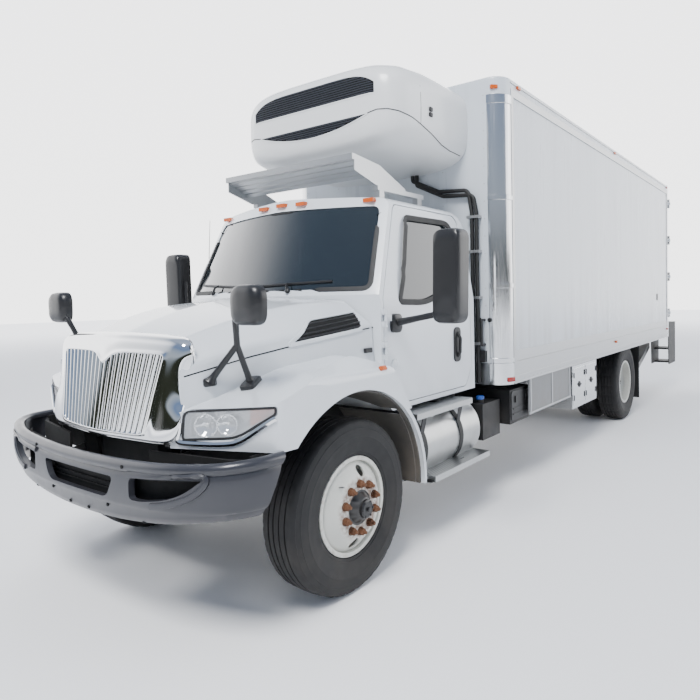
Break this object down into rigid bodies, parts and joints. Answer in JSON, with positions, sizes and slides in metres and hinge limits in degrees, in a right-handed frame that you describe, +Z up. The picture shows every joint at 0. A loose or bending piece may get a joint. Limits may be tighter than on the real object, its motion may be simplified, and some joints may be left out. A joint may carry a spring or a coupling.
{
  "type": "refrigerated truck",
  "caption": "Refrigerated truck with a bonneted cab, a nose-mounted cooling unit over the cab, an insulated box body with rear doors and a folded tail lift.",
  "frame": {"origin": "on the ground, in the middle of the truck's overall length and width", "axes": "+X forward, +Y to the driver's left, +Z up"},
  "size_m": [10.336, 3.124, 3.65],
  "materials": {
    "white_paint": "gloss",
    "frame_black": "satin",
    "cast_black": "rough",
    "engine_grey": "rough",
    "bumper_grey": "matt",
    "tyre": "matt",
    "wheel_white": "satin",
    "glass": "clear",
    "mirror_black": "gloss",
    "dash_grey": "matt",
    "seat_cloth": "woven",
    "liner_black": "grained",
    "bright_chrome": "bright",
    "lamp_clear": "clear",
    "lamp_amber": "clear",
    "box_white": "gloss",
    "aluminium": "brushed",
    "polished_steel": "polished",
    "unit_white": "gloss",
    "unit_slate": "satin",
    "lift_grey": "worn",
    "skirt_grey": "satin",
    "rubber": "matt",
    "exhaust_steel": "heat marked"
  },
  "bodies": {
    "chassis": {"frame_rails": "frame_black", "front_axle": "cast_black", "rear_axle": "cast_black", "engine": "engine_grey", "bumper": "bumper_grey", "cab_shell": "white_paint", "cab_glass": "glass", "dashboard": "dash_grey", "seats": "seat_cloth", "cab_liners": "liner_black", "marker_lamps": "lamp_amber", "box_walls": "box_white", "floor_bearers": "frame_black", "crossmembers": "frame_black", "step_hangers": "frame_black", "box_roof": "box_white", "box_floor": "aluminium", "sill_rails": "aluminium", "corner_posts": "polished_steel", "rear_frame": "polished_steel", "rear_steps": "frame_black", "cooling_unit": "unit_white", "unit_louvres": "unit_slate", "roof_rack": "aluminium", "fuel_tank": "aluminium", "cab_steps": "aluminium", "side_gear": "frame_black", "steel_cabinet": "polished_steel", "side_skirts": "skirt_grey", "exhaust": "exhaust_steel", "mud_flaps": "rubber", "wall_hoses": "rubber"},
    "hood": {"hood": "white_paint", "hood_liners": "liner_black", "grille": "bright_chrome", "headlights": "lamp_clear", "hood_mirrors": "mirror_black"},
    "cab_door_left": {"door_left": "white_paint", "door_glass_left": "glass", "mirror_left": "mirror_black"},
    "cab_door_right": {"door_right": "white_paint", "door_glass_right": "glass", "mirror_right": "mirror_black"},
    "load_door_left": {"rear_door_left": "box_white"},
    "load_door_right": {"rear_door_right": "box_white"},
    "knuckle_left": {"knuckle_left": "cast_black"},
    "knuckle_right": {"knuckle_right": "cast_black"},
    "tie_rod": {"tie_rod": "cast_black"},
    "front_wheel_left": {"tyre_front_left": "tyre", "wheel_front_left": "wheel_white"},
    "front_wheel_right": {"tyre_front_right": "tyre", "wheel_front_right": "wheel_white"},
    "rear_wheels_left": {"tyres_rear_left": "tyre", "wheels_rear_left": "wheel_white"},
    "rear_wheels_right": {"tyres_rear_right": "tyre", "wheels_rear_right": "wheel_white"},
    "lift_arms": {"liftgate_arms": "frame_black"},
    "lift_platform": {"liftgate_platform": "lift_grey"}
  },
  "joints": [
    {"name": "steer_left", "type": "hinge", "parent": "chassis", "child": "knuckle_left", "pos_m": [4.078, 0.86, 0.525], "axis": [0, 0, 1], "range_deg": [-38, 38]},
    {"name": "steer_right", "type": "hinge", "parent": "chassis", "child": "knuckle_right", "pos_m": [4.078, -0.86, 0.525], "axis": [0, 0, 1], "range_deg": [-38, 38]},
    {"name": "tie_rod_turn", "type": "hinge", "parent": "knuckle_left", "child": "tie_rod", "pos_m": [3.908, 0.86, 0.4], "axis": [0, 0, 1], "range_deg": [-38, 38]},
    {"name": "front_wheel_left_spin", "type": "hinge", "parent": "knuckle_left", "child": "front_wheel_left", "pos_m": [4.078, 1, 0.525], "axis": [0, 1, 0], "continuous": true},
    {"name": "front_wheel_right_spin", "type": "hinge", "parent": "knuckle_right", "child": "front_wheel_right", "pos_m": [4.078, -1, 0.525], "axis": [0, 1, 0], "continuous": true},
    {"name": "rear_wheels_left_spin", "type": "hinge", "parent": "chassis", "child": "rear_wheels_left", "pos_m": [-1.916, 0.872, 0.525], "axis": [0, 1, 0], "continuous": true},
    {"name": "rear_wheels_right_spin", "type": "hinge", "parent": "chassis", "child": "rear_wheels_right", "pos_m": [-1.916, -0.872, 0.525], "axis": [0, 1, 0], "continuous": true},
    {"name": "cab_door_left_swing", "type": "hinge", "parent": "chassis", "child": "cab_door_left", "pos_m": [3.608, 1.036, 1.5], "axis": [0, 0, -1], "range_deg": [0, 70]},
    {"name": "cab_door_right_swing", "type": "hinge", "parent": "chassis", "child": "cab_door_right", "pos_m": [3.608, -1.036, 1.5], "axis": [0, 0, 1], "range_deg": [0, 70]},
    {"name": "hood_tilt", "type": "hinge", "parent": "chassis", "child": "hood", "pos_m": [5.078, 0, 0.75], "axis": [0, 1, 0], "range_deg": [0, 70]},
    {"name": "load_door_left_swing", "type": "hinge", "parent": "chassis", "child": "load_door_left", "pos_m": [-4.598, 1.231, 2], "axis": [0, 0, -1], "range_deg": [0, 270]},
    {"name": "load_door_right_swing", "type": "hinge", "parent": "chassis", "child": "load_door_right", "pos_m": [-4.598, -1.231, 2], "axis": [0, 0, 1], "range_deg": [0, 270]},
    {"name": "lift_lower", "type": "hinge", "parent": "chassis", "child": "lift_arms", "pos_m": [-3.912, 0, 0.74], "axis": [0, -1, 0], "range_deg": [0, 18]},
    {"name": "lift_level", "type": "hinge", "parent": "lift_arms", "child": "lift_platform", "pos_m": [-4.642, 0, 0.925], "axis": [0, -1, 0], "range_deg": [-18, 0]}
  ],
  "couplings": [
    {"joint": "steer_right", "follows": "steer_left", "ratio": 1},
    {"joint": "tie_rod_turn", "follows": "steer_left", "ratio": -1},
    {"joint": "lift_level", "follows": "lift_lower", "ratio": -1}
  ]
}
